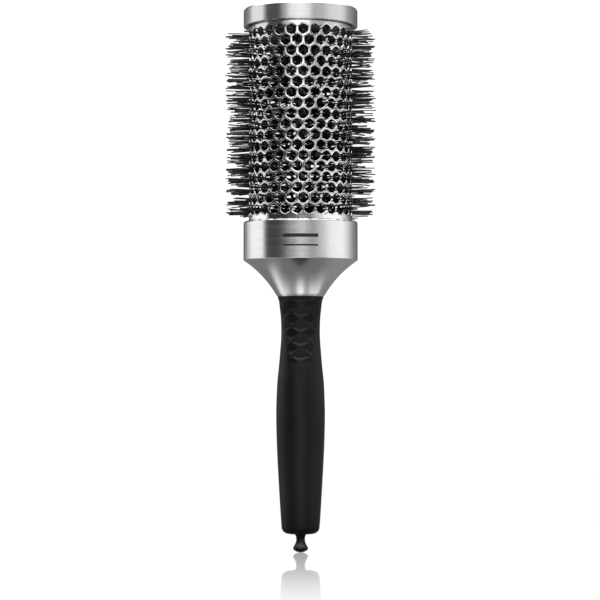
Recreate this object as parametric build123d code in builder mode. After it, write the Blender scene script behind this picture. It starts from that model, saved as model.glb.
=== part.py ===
from build123d import *

import os
from math import floor, pi

# Round barrel brush with a vented metal barrel and a pull-out sectioning pick.
# The brush stands along +Z with the handle down. The origin is the lowest point of the pick's knob, on the
# axis. The front of the brush is -Y. All sizes are in millimetres and degrees.

# Barrel: a perforated tube
BARREL_RADIUS = 22.5
BARREL_WALL = 0.8
BARREL_EXPOSED = 84.7  # bare tube between the collar and the end ring
BARREL_IN_COLLAR = 9.0
VENT_SPACING = 5.24  # wanted spacing around the barrel; the real one divides the barrel evenly
VENT_WEB = 1.2  # metal between two neighbouring vents
VENT_ROW_PITCH = 4.49
VENT_TOP_MARGIN = 4.0  # end ring to the centres of the top row
VENT_LOW_MARGIN = 4.2  # least distance from the collar to the centres of the bottom row
VENT_PHASE = 3.0  # turn of the top row from the front, towards +X
VENT_CUT_MARGIN = 0.8  # how far a vent's cut runs past each face of the wall

# End ring, a channel that caps the barrel's free end, and the grille under it
RING_HEIGHT = 7.9
RING_EDGE = 1.2
RING_LIP = 1.0  # thickness over the barrel's edge
RING_INNER_WALL = 0.95
RING_INNER_DEPTH = 5.0
RING_INNER_EDGE = 0.3
RING_RELIEF_DEPTH = 1.6  # shadow gap under the outer skirt
RING_RELIEF_WIDTH = 1.1
GRILLE_THICKNESS = 3.2
GRILLE_RIM = 1.9
GRILLE_HUB_WALL = 2.05
GRILLE_SPOKES = 6
GRILLE_SPOKE_WIDTH = 1.7
GRILLE_MID_RING_RADIUS = 13.0
GRILLE_MID_RING_WIDTH = 1.5
GRILLE_SOCKET_DEPTH = 2.2

# Collar, the metal shell between barrel and handle
COLLAR_WALL = 2.25  # outside the barrel, and the end ring's too
COLLAR_BAND = 16.8
COLLAR_FLARE = 15.9
COLLAR_SHELL = 1.9
COLLAR_NECK_BORE = 8.35
COLLAR_NECK_WALL = 1.75
COLLAR_NECK_LENGTH = 3.8
COLLAR_EDGE = 0.8
FLARE_HOLLOW = 1.3  # depth of the flare's curve below its chord

# Seat, the plug that carries the barrel on the handle
SEAT_FLANGE = 3.0
SEAT_SKIRT = 6.5
SEAT_SKIRT_WALL = 1.6
SEAT_HUB_WALL = 2.95
SEAT_HUB_BELOW = 10.0

# Bristle insert: filaments held in a pair of twisted wires
WIRE_RADIUS = 1.15
WIRE_TWIST = 14.8  # length of one full twist
WIRE_TAIL = 14.8  # length below the seat's flange, inside the handle core
BRISTLE_REACH = 10.4  # from the barrel's face to the tips
TUFT_ROOT_RADIUS = 0.22
TUFT_TIP_RADIUS = 1.1

# Handle: a hard core inside a soft grip
GRIP_LENGTH = 102.4
GRIP_STEP = 0.05  # the grip's top edge stands this far inside the collar's
GRIP_NECK_RADIUS = 9.2
GRIP_NECK_DROP = 3.5  # drops are measured down from the top of the grip
GRIP_WAIST_RADIUS = 8.4
GRIP_WAIST_DROP = 14.5
GRIP_SWELL_RADIUS = 9.15
GRIP_SWELL_DROP = 27.6
GRIP_BELLY_RADIUS = 10.6
GRIP_BELLY_HEIGHT = 50.6  # heights are measured up from the bottom of the grip
GRIP_TAIL_RADIUS = 9.38
GRIP_TAIL_HEIGHT = 20.3
GRIP_END_RADIUS = 8.05
GRIP_CORNER = 2.9
GRIP_END_WALL = 2.0
CORE_WALL = 2.8  # around the pick's bush
CORE_BOSS_WALL = 3.55  # around the wires' socket

# Sectioning pick and the bush that holds it in the handle
KNOB_HEIGHT = 8.1
KNOB_RADIUS = 3.3
KNOB_WIDEST = 1.75  # height of the knob's widest point
KNOB_NECK_RADIUS = 1.9
KNOB_NECK_HEIGHT = 5.7
KNOB_SHOULDER = 0.5
KNOB_SHOULDER_STEP = 0.95  # how far the shoulder stands out from the shaft
PICK_RADIUS = 1.5
PICK_LENGTH = 76.0
PICK_TAPER = 26.0
PICK_POINT_RADIUS = 0.7
PICK_END_GAP = 3.0
BUSH_WALL = 1.65
BUSH_LENGTH = 20.0

# Clearances, on the radius
FIT_CLEARANCE = 0.05  # parts that are pushed together
SLIDE_CLEARANCE = 0.05  # the pick in its bush
WIRE_CLEARANCE = 0.1
PICK_BORE_CLEARANCE = 0.6

# Clearances along the axis
WIRE_END_CLEARANCE = 0.8  # the wires' ends are cut square to the twist, so they reach past their middles
NECK_END_CLEARANCE = 0.2

# Heights of the main faces
GRIP_BOTTOM = KNOB_HEIGHT
GRIP_TOP = GRIP_BOTTOM + GRIP_LENGTH
CORE_NECK_TOP = GRIP_TOP + COLLAR_NECK_LENGTH - NECK_END_CLEARANCE
COLLAR_BAND_BOTTOM = GRIP_TOP + COLLAR_FLARE
COLLAR_TOP = COLLAR_BAND_BOTTOM + COLLAR_BAND
RING_BOTTOM = COLLAR_TOP + BARREL_EXPOSED
RING_TOP = RING_BOTTOM + RING_HEIGHT
BARREL_BOTTOM = COLLAR_TOP - BARREL_IN_COLLAR
BARREL_TOP = RING_TOP - RING_LIP
GRILLE_TOP = RING_TOP - RING_INNER_DEPTH
SEAT_BOTTOM = BARREL_BOTTOM - SEAT_FLANGE
SEAT_HUB_BOTTOM = SEAT_BOTTOM - SEAT_HUB_BELOW
WIRE_BOTTOM = SEAT_BOTTOM - WIRE_TAIL
WIRE_TOP = GRILLE_TOP - GRILLE_THICKNESS + GRILLE_SOCKET_DEPTH - WIRE_END_CLEARANCE
BUSH_TOP = GRIP_BOTTOM + BUSH_LENGTH
PICK_TOP = GRIP_BOTTOM + PICK_LENGTH

# Radii that follow from the fits
BARREL_BORE = BARREL_RADIUS - BARREL_WALL
BARREL_SEAT_RADIUS = BARREL_RADIUS + FIT_CLEARANCE
COLLAR_RADIUS = BARREL_SEAT_RADIUS + COLLAR_WALL
COLLAR_NECK_RADIUS = COLLAR_NECK_BORE + COLLAR_NECK_WALL
RING_INNER_OUTER = BARREL_BORE - FIT_CLEARANCE
RING_BORE = RING_INNER_OUTER - RING_INNER_WALL
WIRE_OFFSET = WIRE_RADIUS + WIRE_CLEARANCE / 2
WIRE_ENVELOPE = WIRE_OFFSET + WIRE_RADIUS
WIRE_BORE = WIRE_ENVELOPE + WIRE_CLEARANCE
BRISTLE_TIP_RADIUS = BARREL_RADIUS + BRISTLE_REACH
GRILLE_HUB_RADIUS = WIRE_BORE + GRILLE_HUB_WALL
CORE_BOSS_RADIUS = WIRE_BORE + CORE_BOSS_WALL
SEAT_HUB_BORE = CORE_BOSS_RADIUS + FIT_CLEARANCE
SEAT_HUB_RADIUS = SEAT_HUB_BORE + SEAT_HUB_WALL
SEAT_SKIRT_RADIUS = BARREL_BORE - FIT_CLEARANCE
SEAT_SKIRT_BORE = SEAT_SKIRT_RADIUS - SEAT_SKIRT_WALL
SEAT_FLANGE_RADIUS = BARREL_RADIUS - FIT_CLEARANCE
BUSH_BORE = PICK_RADIUS + SLIDE_CLEARANCE
BUSH_RADIUS = BUSH_BORE + BUSH_WALL
CORE_RADIUS = BUSH_RADIUS + CORE_WALL
CORE_NECK_RADIUS = COLLAR_NECK_BORE - FIT_CLEARANCE
PICK_BORE = PICK_RADIUS + PICK_BORE_CLEARANCE
KNOB_SHOULDER_RADIUS = PICK_RADIUS + KNOB_SHOULDER_STEP
GRIP_TOP_RADIUS = COLLAR_NECK_RADIUS - GRIP_STEP

# Vent grid
VENTS_AROUND = round(2 * pi * BARREL_RADIUS / VENT_SPACING)
VENT_WIDTH = 2 * pi * BARREL_RADIUS / VENTS_AROUND - VENT_WEB
VENT_ROWS = 1 + floor((BARREL_EXPOSED - VENT_TOP_MARGIN - VENT_LOW_MARGIN) / VENT_ROW_PITCH)
FRONT = -90  # polar angle of the front of the brush

# Middle of the collar's flare, a little below the middle of its chord
FLARE_MIDDLE_RADIUS = (COLLAR_RADIUS + COLLAR_NECK_RADIUS) / 2 - FLARE_HOLLOW / 2**0.5
FLARE_MIDDLE_HEIGHT = (COLLAR_BAND_BOTTOM + GRIP_TOP) / 2 + FLARE_HOLLOW / 2**0.5


def row_height(row):
    """Height of the centres of a vent row, with row 0 at the top."""
    return RING_BOTTOM - VENT_TOP_MARGIN - row * VENT_ROW_PITCH


def row_angle(row):
    """Polar angle of a row's first vent; every other row is turned by half a vent."""
    return FRONT + VENT_PHASE + (row % 2) * 180 / VENTS_AROUND


def save(piece, label):
    """Names a finished piece and writes it."""
    piece.part.label = label
    export_step(piece.part, f"parts/{label}.step")


os.makedirs("parts", exist_ok=True)

# Barrel tube with hexagonal vents, a point of each hexagon up
with BuildPart() as barrel_tube:
    with BuildSketch(Plane.XY.offset(BARREL_BOTTOM)):
        Circle(BARREL_RADIUS)
        Circle(BARREL_BORE, mode=Mode.SUBTRACT)
    extrude(amount=BARREL_TOP - BARREL_BOTTOM)
    with BuildPart(mode=Mode.PRIVATE) as vent_cutter:
        with BuildSketch(Plane.YZ.offset(BARREL_BORE - VENT_CUT_MARGIN)):
            RegularPolygon(VENT_WIDTH / 2, 6, major_radius=False, rotation=30)
        extrude(amount=BARREL_WALL + 2 * VENT_CUT_MARGIN)
    vents = []
    for row in range(VENT_ROWS):
        for turn in range(VENTS_AROUND):
            angle = row_angle(row) + turn * 360 / VENTS_AROUND
            vents.append(Location((0, 0, row_height(row)), (0, 0, angle)))
    with Locations(*vents):
        add(vent_cutter.part, mode=Mode.SUBTRACT)
save(barrel_tube, "barrel_tube")

# Bristles, one row of tufts for each row of vents, with a tuft through each vent
for row in range(VENT_ROWS):
    with BuildPart(Plane.XY.offset(row_height(row))) as bristle_row:
        with PolarLocations(WIRE_BORE, VENTS_AROUND, start_angle=row_angle(row)):
            Cone(
                TUFT_ROOT_RADIUS,
                TUFT_TIP_RADIUS,
                BRISTLE_TIP_RADIUS - WIRE_BORE,
                rotation=(0, 90, 0),
                align=(Align.CENTER, Align.CENTER, Align.MIN),
            )
    save(bristle_row, f"bristle_row_{row + 1:02d}")

# Core wires, a left-handed twisted pair
for strand in range(2):
    with BuildPart() as core_wire:
        with BuildLine() as twist:
            Helix(
                WIRE_TWIST,
                WIRE_TOP - WIRE_BOTTOM,
                WIRE_OFFSET,
                center=(0, 0, WIRE_BOTTOM),
                lefthand=True,
            )
        with BuildSketch(Plane(origin=twist.line @ 0, z_dir=twist.line % 0)):
            Circle(WIRE_RADIUS)
        sweep(is_frenet=True)
    core_wire.part = core_wire.part.rotate(Axis.Z, 180 * strand)
    save(core_wire, f"core_wire_{strand + 1}")

# End ring: outer skirt, lip over the barrel's edge and inner skirt
with BuildPart() as end_ring:
    with BuildSketch(Plane.XZ):
        with BuildLine():
            Polyline(
                (RING_INNER_OUTER, GRILLE_TOP),
                (RING_INNER_OUTER, BARREL_TOP),
                (BARREL_SEAT_RADIUS, BARREL_TOP),
                (BARREL_SEAT_RADIUS, RING_BOTTOM + RING_RELIEF_DEPTH),
                (BARREL_SEAT_RADIUS + RING_RELIEF_WIDTH, RING_BOTTOM + RING_RELIEF_DEPTH),
                (BARREL_SEAT_RADIUS + RING_RELIEF_WIDTH, RING_BOTTOM),
                (COLLAR_RADIUS, RING_BOTTOM),
                (COLLAR_RADIUS, RING_TOP),
                (RING_BORE, RING_TOP),
                (RING_BORE, GRILLE_TOP),
                close=True,
            )
        make_face()
    revolve(axis=Axis.Z)
    fillet(end_ring.faces().sort_by(Axis.Z)[-1].edges().sort_by(SortBy.RADIUS)[-1], RING_EDGE)
    fillet(end_ring.faces().sort_by(Axis.Z)[-1].edges().sort_by(SortBy.RADIUS)[0], RING_INNER_EDGE)
save(end_ring, "end_ring")

# End grille: rim, hub, middle ring and spokes, with a socket for the twisted wires
with BuildPart() as end_grille:
    with BuildSketch(Plane.XY.offset(GRILLE_TOP)):
        Circle(RING_INNER_OUTER)
        Circle(RING_INNER_OUTER - GRILLE_RIM, mode=Mode.SUBTRACT)
        Circle(GRILLE_MID_RING_RADIUS)
        Circle(GRILLE_MID_RING_RADIUS - GRILLE_MID_RING_WIDTH, mode=Mode.SUBTRACT)
        with PolarLocations(0, GRILLE_SPOKES):
            Rectangle(
                RING_INNER_OUTER - GRILLE_RIM / 2,
                GRILLE_SPOKE_WIDTH,
                align=(Align.MIN, Align.CENTER),
            )
        Circle(GRILLE_HUB_RADIUS)
    extrude(amount=-GRILLE_THICKNESS)
    with BuildSketch(Plane.XY.offset(GRILLE_TOP - GRILLE_THICKNESS)):
        Circle(WIRE_BORE)
    extrude(amount=GRILLE_SOCKET_DEPTH, mode=Mode.SUBTRACT)
save(end_grille, "end_grille")

# Collar: straight band above a hollow-curved flare
with BuildPart() as collar:
    with BuildSketch(Plane.XZ):
        with BuildLine():
            Polyline(
                (COLLAR_NECK_RADIUS, GRIP_TOP),
                (COLLAR_NECK_BORE, GRIP_TOP),
                (COLLAR_NECK_BORE, GRIP_TOP + COLLAR_NECK_LENGTH),
                (BARREL_SEAT_RADIUS, COLLAR_BAND_BOTTOM + COLLAR_SHELL),
                (BARREL_SEAT_RADIUS, COLLAR_TOP),
                (COLLAR_RADIUS, COLLAR_TOP),
                (COLLAR_RADIUS, COLLAR_BAND_BOTTOM),
            )
            ThreePointArc(
                (COLLAR_RADIUS, COLLAR_BAND_BOTTOM),
                (FLARE_MIDDLE_RADIUS, FLARE_MIDDLE_HEIGHT),
                (COLLAR_NECK_RADIUS, GRIP_TOP),
            )
        make_face()
    revolve(axis=Axis.Z)
    fillet(collar.faces().sort_by(Axis.Z)[-1].edges().sort_by(SortBy.RADIUS)[-1], COLLAR_EDGE)
save(collar, "collar")

# Barrel seat: flange under the tube, skirt inside it, and a hub on the handle core's boss
with BuildPart() as barrel_seat:
    with BuildSketch(Plane.XZ):
        with BuildLine():
            Polyline(
                (WIRE_BORE, BARREL_BOTTOM),
                (WIRE_BORE, SEAT_BOTTOM),
                (SEAT_HUB_BORE, SEAT_BOTTOM),
                (SEAT_HUB_BORE, SEAT_HUB_BOTTOM),
                (SEAT_HUB_RADIUS, SEAT_HUB_BOTTOM),
                (SEAT_HUB_RADIUS, SEAT_BOTTOM),
                (SEAT_FLANGE_RADIUS, SEAT_BOTTOM),
                (SEAT_FLANGE_RADIUS, BARREL_BOTTOM),
                (SEAT_SKIRT_RADIUS, BARREL_BOTTOM),
                (SEAT_SKIRT_RADIUS, BARREL_BOTTOM + SEAT_SKIRT),
                (SEAT_SKIRT_BORE, BARREL_BOTTOM + SEAT_SKIRT),
                (SEAT_SKIRT_BORE, BARREL_BOTTOM),
                close=True,
            )
        make_face()
    revolve(axis=Axis.Z)
save(barrel_seat, "barrel_seat")

# Handle core: long stem in the grip, neck in the collar, boss in the barrel seat
with BuildPart() as handle_core:
    with BuildSketch(Plane.XZ):
        with BuildLine():
            Polyline(
                (0, PICK_TOP + PICK_END_GAP),
                (PICK_BORE, PICK_TOP + PICK_END_GAP),
                (PICK_BORE, BUSH_TOP),
                (BUSH_RADIUS, BUSH_TOP),
                (BUSH_RADIUS, GRIP_BOTTOM + GRIP_END_WALL),
                (CORE_RADIUS, GRIP_BOTTOM + GRIP_END_WALL),
                (CORE_RADIUS, GRIP_TOP),
                (CORE_NECK_RADIUS, GRIP_TOP),
                (CORE_NECK_RADIUS, CORE_NECK_TOP),
                (CORE_BOSS_RADIUS, CORE_NECK_TOP),
                (CORE_BOSS_RADIUS, SEAT_BOTTOM),
                (WIRE_BORE, SEAT_BOTTOM),
                (WIRE_BORE, WIRE_BOTTOM - WIRE_END_CLEARANCE),
                (0, WIRE_BOTTOM - WIRE_END_CLEARANCE),
                close=True,
            )
        make_face()
    revolve(axis=Axis.Z)
save(handle_core, "handle_core")

# Handle grip, moulded over the core, with a waist under the collar and a belly in the palm
with BuildPart() as handle_grip:
    with BuildSketch(Plane.XZ):
        with BuildLine():
            Spline(
                (GRIP_TOP_RADIUS, GRIP_TOP),
                (GRIP_NECK_RADIUS, GRIP_TOP - GRIP_NECK_DROP),
                (GRIP_WAIST_RADIUS, GRIP_TOP - GRIP_WAIST_DROP),
                (GRIP_SWELL_RADIUS, GRIP_TOP - GRIP_SWELL_DROP),
                (GRIP_BELLY_RADIUS, GRIP_BOTTOM + GRIP_BELLY_HEIGHT),
                (GRIP_TAIL_RADIUS, GRIP_BOTTOM + GRIP_TAIL_HEIGHT),
                (GRIP_END_RADIUS, GRIP_BOTTOM),
            )
            Polyline(
                (GRIP_END_RADIUS, GRIP_BOTTOM),
                (BUSH_RADIUS, GRIP_BOTTOM),
                (BUSH_RADIUS, GRIP_BOTTOM + GRIP_END_WALL),
                (CORE_RADIUS, GRIP_BOTTOM + GRIP_END_WALL),
                (CORE_RADIUS, GRIP_TOP),
                (GRIP_TOP_RADIUS, GRIP_TOP),
            )
        make_face()
    revolve(axis=Axis.Z)
    fillet(handle_grip.faces().sort_by(Axis.Z)[0].edges().sort_by(SortBy.RADIUS)[-1], GRIP_CORNER)
save(handle_grip, "handle_grip")

# Pick bush, a sleeve in the lower end of the handle
with BuildPart() as pick_bush:
    with BuildSketch(Plane.XY.offset(GRIP_BOTTOM)):
        Circle(BUSH_RADIUS)
        Circle(BUSH_BORE, mode=Mode.SUBTRACT)
    extrude(amount=BUSH_LENGTH)
save(pick_bush, "pick_bush")

# Sectioning pick: knob, shoulder against the bush, and a tapering shaft
with BuildPart() as sectioning_pick:
    with BuildSketch(Plane.XZ):
        with BuildLine():
            Spline(
                (0, 0),
                (KNOB_RADIUS, KNOB_WIDEST),
                tangents=[(1, 0), (0, 1)],
            )
            Spline(
                (KNOB_RADIUS, KNOB_WIDEST),
                (KNOB_NECK_RADIUS, KNOB_NECK_HEIGHT),
                (KNOB_SHOULDER_RADIUS, GRIP_BOTTOM - KNOB_SHOULDER),
                tangents=[(0, 1), (1, 1)],
            )
            Polyline(
                (KNOB_SHOULDER_RADIUS, GRIP_BOTTOM - KNOB_SHOULDER),
                (KNOB_SHOULDER_RADIUS, GRIP_BOTTOM),
                (PICK_RADIUS, GRIP_BOTTOM),
                (PICK_RADIUS, PICK_TOP - PICK_TAPER),
                (PICK_POINT_RADIUS, PICK_TOP - PICK_POINT_RADIUS),
            )
            RadiusArc(
                (PICK_POINT_RADIUS, PICK_TOP - PICK_POINT_RADIUS), (0, PICK_TOP), -PICK_POINT_RADIUS
            )
            Line((0, PICK_TOP), (0, 0))
        make_face()
    revolve(axis=Axis.Z)
save(sectioning_pick, "sectioning_pick")
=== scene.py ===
"""Round barrel brush: the visible pieces and finishes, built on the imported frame.

Everything is in metres in the part's own frame: +Z runs up the brush's axis from the knob of the pick to the
barrel, and the front of the brush faces -Y. Outlines are written in millimetres as (radius, height).
"""

from math import asin, atan2, cos, pi, radians, sin, tan, tau

import bmesh
import bpy
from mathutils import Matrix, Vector


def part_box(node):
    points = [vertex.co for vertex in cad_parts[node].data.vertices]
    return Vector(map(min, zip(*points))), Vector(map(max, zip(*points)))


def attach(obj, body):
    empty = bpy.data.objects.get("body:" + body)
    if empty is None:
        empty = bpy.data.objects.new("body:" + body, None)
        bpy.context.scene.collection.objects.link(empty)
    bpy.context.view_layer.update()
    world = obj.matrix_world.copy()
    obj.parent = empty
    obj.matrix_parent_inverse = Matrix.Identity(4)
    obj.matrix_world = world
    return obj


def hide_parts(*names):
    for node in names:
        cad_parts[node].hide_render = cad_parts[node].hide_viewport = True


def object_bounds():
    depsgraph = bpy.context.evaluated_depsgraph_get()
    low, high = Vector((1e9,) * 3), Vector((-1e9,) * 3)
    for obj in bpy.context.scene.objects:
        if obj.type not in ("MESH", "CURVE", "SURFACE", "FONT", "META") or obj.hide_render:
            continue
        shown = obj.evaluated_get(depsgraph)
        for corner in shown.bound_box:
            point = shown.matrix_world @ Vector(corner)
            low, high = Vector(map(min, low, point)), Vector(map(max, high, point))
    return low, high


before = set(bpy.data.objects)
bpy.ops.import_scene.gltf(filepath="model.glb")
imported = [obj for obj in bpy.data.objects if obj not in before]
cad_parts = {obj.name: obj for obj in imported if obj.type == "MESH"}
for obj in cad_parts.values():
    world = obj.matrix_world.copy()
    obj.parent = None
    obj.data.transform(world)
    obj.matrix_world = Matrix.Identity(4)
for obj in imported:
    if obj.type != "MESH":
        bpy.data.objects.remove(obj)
CAD_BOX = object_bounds()

MM = 0.001
ROUND_SIDES = 144  # sides of the turned metal pieces
SMALL_SIDES = 64

# Barrel
BARREL_WALL = 0.8 * MM
VENTS_AROUND = 27
VENT_WEB = 1.2 * MM
VENT_PHASE = radians(3.0)  # turn of the top row from the front, towards +X
VENT_RIM = 0.24 * MM  # rolled edge of each vent

# Bristles
STRANDS_PER_VENT = 4
STRAND_RADIUS = 0.27 * MM
STRAND_SIDES = 4
STRAND_STEPS = 7
STRAND_CRIMPS = ((0.06, 1.2), (0.14, 2.1), (0.24, 1.6), (0.10, 2.8))  # sway in mm, waves, for each kind
STRAND_KINDS = len(STRAND_CRIMPS)
STRAND_TILT = (-0.045, 0.03)  # a strand's least and most rise for each unit of reach
ROOT_RADIUS = 1.6 * MM
STRAND_SPREAD = 1.0 * MM  # how far from the middle of its vent a strand can pass
SHORTEST = 2.4 * MM  # tips stop between this and LONGEST short of the bristles' outer radius
LONGEST = 0.05 * MM
STRAND_ODDS = 1.15  # a strand is left out when its draw, up to this, comes to 1
SHEET_LOSS = 0.3  # added to the draw of a strand midway between two sheets
WIRE_LEAD = 14.8 * MM  # one full twist, which makes two sheets of bristles
SHEET_START = 2.2 * MM
SHEET_LEAN = 0.2  # how much of the way to its sheet a strand leans

# Grip texture: kite-shaped pits between two zigzags of ridges, on the front and on the back
CELL_TURN = radians(30)  # from a middle node to a side node
CELL_HEIGHT = 6.25 * MM
CELL_DROP = 2.9 * MM  # top of the grip to the first middle node
CELL_WING = 0.36  # rise of the upper zigzag from middle to side, as a share of the cell
CELL_DEPTH = 0.7 * MM
CELL_FLOOR = 0.75  # share of the depth at which a pit's floor goes flat
UPPER_SLOPES = (0.2, 0.75)  # heights of a kite's lower and upper slopes, as shares of the cell
LOWER_SLOPES = (0.22, 0.6)
LOWER_DEPTH = 0.6  # depth of the kites between the wings, as a share of the depth
CELL_STEPS = 12  # mesh steps from a middle node to a side node
TEXTURE_EDGE = radians(62)  # where the texture ends at the sides, near the collar
TEXTURE_NARROWING = radians(30)
TEXTURE_FADE = radians(9)
WEDGE_TOP = 31.3 * MM  # the raised wedge under the texture, down from the top of the grip
WEDGE_LENGTH = 3.4 * MM
WEDGE_HALF_WIDTH = 1.8 * MM
WEDGE_RISE = 0.35 * MM

# Printed bars on the collar's band, as (distance down from the collar's top, height)
PRINT_BARS = ((7.3 * MM, 1.5 * MM), (11.4 * MM, 0.7 * MM))
PRINT_HALF_TURN = radians(17.5)
PRINT_PROUD = 0.012 * MM
PRINT_SUNK = 0.05 * MM

# Camera, in metres and millimetres of lens
CAMERA_PLACE = (-0.25 * MM, -0.876, 0.0825)
CAMERA_TARGET = (-0.25 * MM, 0, 0.1092)
CAMERA_LENS = 121.1


# ---------------------------------------------------------------- frame sizes

class Span:
    """The bottom, top and outer radius of a turned node."""

    def __init__(self, node):
        low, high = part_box(node)
        self.bottom = low.z
        self.top = high.z
        self.radius = max(high.x, high.y)


def rims(node, radius):
    """The lowest and highest points of a node at one radius."""
    heights = [v.co.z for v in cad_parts[node].data.vertices if abs(v.co.xy.length - radius) < 0.02 * MM]
    return min(heights), max(heights)


def radii(node, height):
    """The smallest and largest radius of a node at one of its faces' heights."""
    sizes = [v.co.xy.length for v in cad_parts[node].data.vertices if abs(v.co.z - height) < 0.02 * MM]
    return min(sizes), max(sizes)


barrel = Span("barrel_tube")
ring = Span("end_ring")
collar = Span("collar")
grip = Span("handle_grip")
grille = Span("end_grille")
pick = Span("sectioning_pick")
row_spans = [Span(name) for name in sorted(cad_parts) if name.startswith("bristle_row_")]
ROWS = len(row_spans)
TOP_ROW = (row_spans[0].bottom + row_spans[0].top) / 2
LOW_ROW = (row_spans[-1].bottom + row_spans[-1].top) / 2
ROW_PITCH = (TOP_ROW - LOW_ROW) / (ROWS - 1)
VENT_PITCH = tau * barrel.radius / VENTS_AROUND
TIP_RADIUS = row_spans[0].radius
FRONT = -pi / 2


# ---------------------------------------------------------------- mesh helpers

def rounded(corners, loop=False, steps=5):
    """An outline in metres from corners of (radius, height, fillet) in millimetres."""
    outline = []
    for index, (r, z, fillet) in enumerate(corners):
        here = Vector((r, z)) * MM
        is_end = not loop and index in (0, len(corners) - 1)
        if is_end or fillet == 0:
            outline.append(here)
            continue
        back = (Vector(corners[index - 1][:2]) * MM - here).normalized()
        ahead = (Vector(corners[(index + 1) % len(corners)][:2]) * MM - here).normalized()
        half = back.angle(ahead) / 2
        size = fillet * MM
        centre = here + (back + ahead).normalized() * size / sin(half)
        first = here + back * size / tan(half) - centre
        swing = pi - 2 * half
        if back.x * ahead.y - back.y * ahead.x > 0:
            swing = -swing
        outline += [centre + swung(first, swing * step / steps) for step in range(steps + 1)]
    return outline


def arc_through(start, middle, end, steps=24):
    """Points on the circular arc from start to end through middle."""
    (ax, ay), (bx, by), (cx, cy) = start, middle, end
    d = 2 * (ax * (by - cy) + bx * (cy - ay) + cx * (ay - by))
    a2, b2, c2 = ax**2 + ay**2, bx**2 + by**2, cx**2 + cy**2
    centre = Vector((
        (a2 * (by - cy) + b2 * (cy - ay) + c2 * (ay - by)) / d,
        (a2 * (cx - bx) + b2 * (ax - cx) + c2 * (bx - ax)) / d,
    ))
    first = Vector(start) - centre
    last = Vector(end) - centre
    swing = atan2(first.x * last.y - first.y * last.x, first.dot(last))
    return [centre + swung(first, swing * step / steps) for step in range(steps + 1)]


def flowing(points, height):
    """A smooth radius at a height, through points of (height, radius) in rising order."""
    index = 1
    while index < len(points) - 1 and points[index][0] < height:
        index += 1
    (z0, r0), (z1, r1) = points[index - 1], points[index]
    before = points[max(index - 2, 0)]
    after = points[min(index + 1, len(points) - 1)]
    slope_0 = (r1 - before[1]) / (z1 - before[0])
    slope_1 = (after[1] - r0) / (after[0] - z0)
    t = min(max((height - z0) / (z1 - z0), 0), 1)
    width = z1 - z0
    return (
        (2 * t**3 - 3 * t**2 + 1) * r0
        + (t**3 - 2 * t**2 + t) * slope_0 * width
        + (3 * t**2 - 2 * t**3) * r1
        + (t**3 - t**2) * slope_1 * width
    )


def new_piece(name, mesh):
    piece = bpy.data.objects.new(name, mesh)
    bpy.context.scene.collection.objects.link(piece)
    return piece


def piece_from(bm, name):
    """A new object with the mesh built so far."""
    mesh = bpy.data.meshes.new(name)
    bm.to_mesh(mesh)
    bm.free()
    return new_piece(name, mesh)


def swung(point, turn):
    """A flat vector turned anticlockwise."""
    return Vector((point.x * cos(turn) - point.y * sin(turn), point.x * sin(turn) + point.y * cos(turn)))


def lathe_into(bm, outline, sides=ROUND_SIDES, loop=False):
    """Turns an outline about the axis; points on the axis become poles."""
    levels = []
    for r, z in outline:
        if r < 1e-7:
            levels.append([bm.verts.new((0, 0, z))])
            continue
        levels.append([bm.verts.new((r * cos(tau * k / sides), r * sin(tau * k / sides), z))
                       for k in range(sides)])
    pairs = list(zip(levels, levels[1:]))
    if loop:
        pairs.append((levels[-1], levels[0]))
    for low, high in pairs:
        for k in range(sides):
            corners = (
                low[k % len(low)],
                low[(k + 1) % sides % len(low)],
                high[(k + 1) % sides % len(high)],
                high[k % len(high)],
            )
            bm.faces.new(dict.fromkeys(corners))


def finished(bm, name, angle=35):
    """A closed piece, with its faces turned outwards and edges sharper than the angle kept."""
    bmesh.ops.recalc_face_normals(bm, faces=bm.faces)
    piece = piece_from(bm, name)
    piece.data.shade_smooth()
    piece.data.set_sharp_from_angle(angle=radians(angle))
    return piece


def lathe(name, outline, sides=ROUND_SIDES, loop=False, angle=35):
    bm = bmesh.new()
    lathe_into(bm, outline, sides, loop)
    return finished(bm, name, angle)


# ---------------------------------------------------------------- node graph helper

class Graph:
    """A node tree with short ways to add nodes, wire them up and reach its inputs."""

    def __init__(self, tree):
        self.tree = tree
        self.start = None

    def inputs(self, **kinds):
        for label, kind in kinds.items():
            self.tree.interface.new_socket(label.replace("_", " "), in_out="INPUT", socket_type=kind)
        self.start = self.tree.nodes.new("NodeGroupInput")

    def take(self, label):
        return self.start.outputs[label]

    def add(self, kind, wires=None, **settings):
        node = self.tree.nodes.new(kind)
        for key, value in settings.items():
            setattr(node, key, value)
        for key, value in (wires or {}).items():
            socket = node.inputs[key]
            if isinstance(value, bpy.types.NodeSocket):
                self.tree.links.new(value, socket)
            else:
                socket.default_value = value
        return node

    def math(self, operation, a, b=0.0):
        return self.add("ShaderNodeMath", {0: a, 1: b}, operation=operation).outputs[0]

    def vector(self, x, y, z):
        return self.add("ShaderNodeCombineXYZ", {0: x, 1: y, 2: z}).outputs[0]


def geometry_graph(name, **inputs):
    tree = bpy.data.node_groups.new(name, "GeometryNodeTree")
    tree.interface.new_socket("Geometry", in_out="OUTPUT", socket_type="NodeSocketGeometry")
    graph = Graph(tree)
    graph.inputs(**inputs)
    return graph


def close_geometry(graph, geometry, material):
    """Ends a geometry tree with real mesh and its material."""
    real = graph.add("GeometryNodeRealizeInstances", {0: geometry}).outputs[0]
    done = graph.add("GeometryNodeSetMaterial", {"Geometry": real, "Material": material}).outputs[0]
    graph.add("NodeGroupOutput", {0: done})


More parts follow.
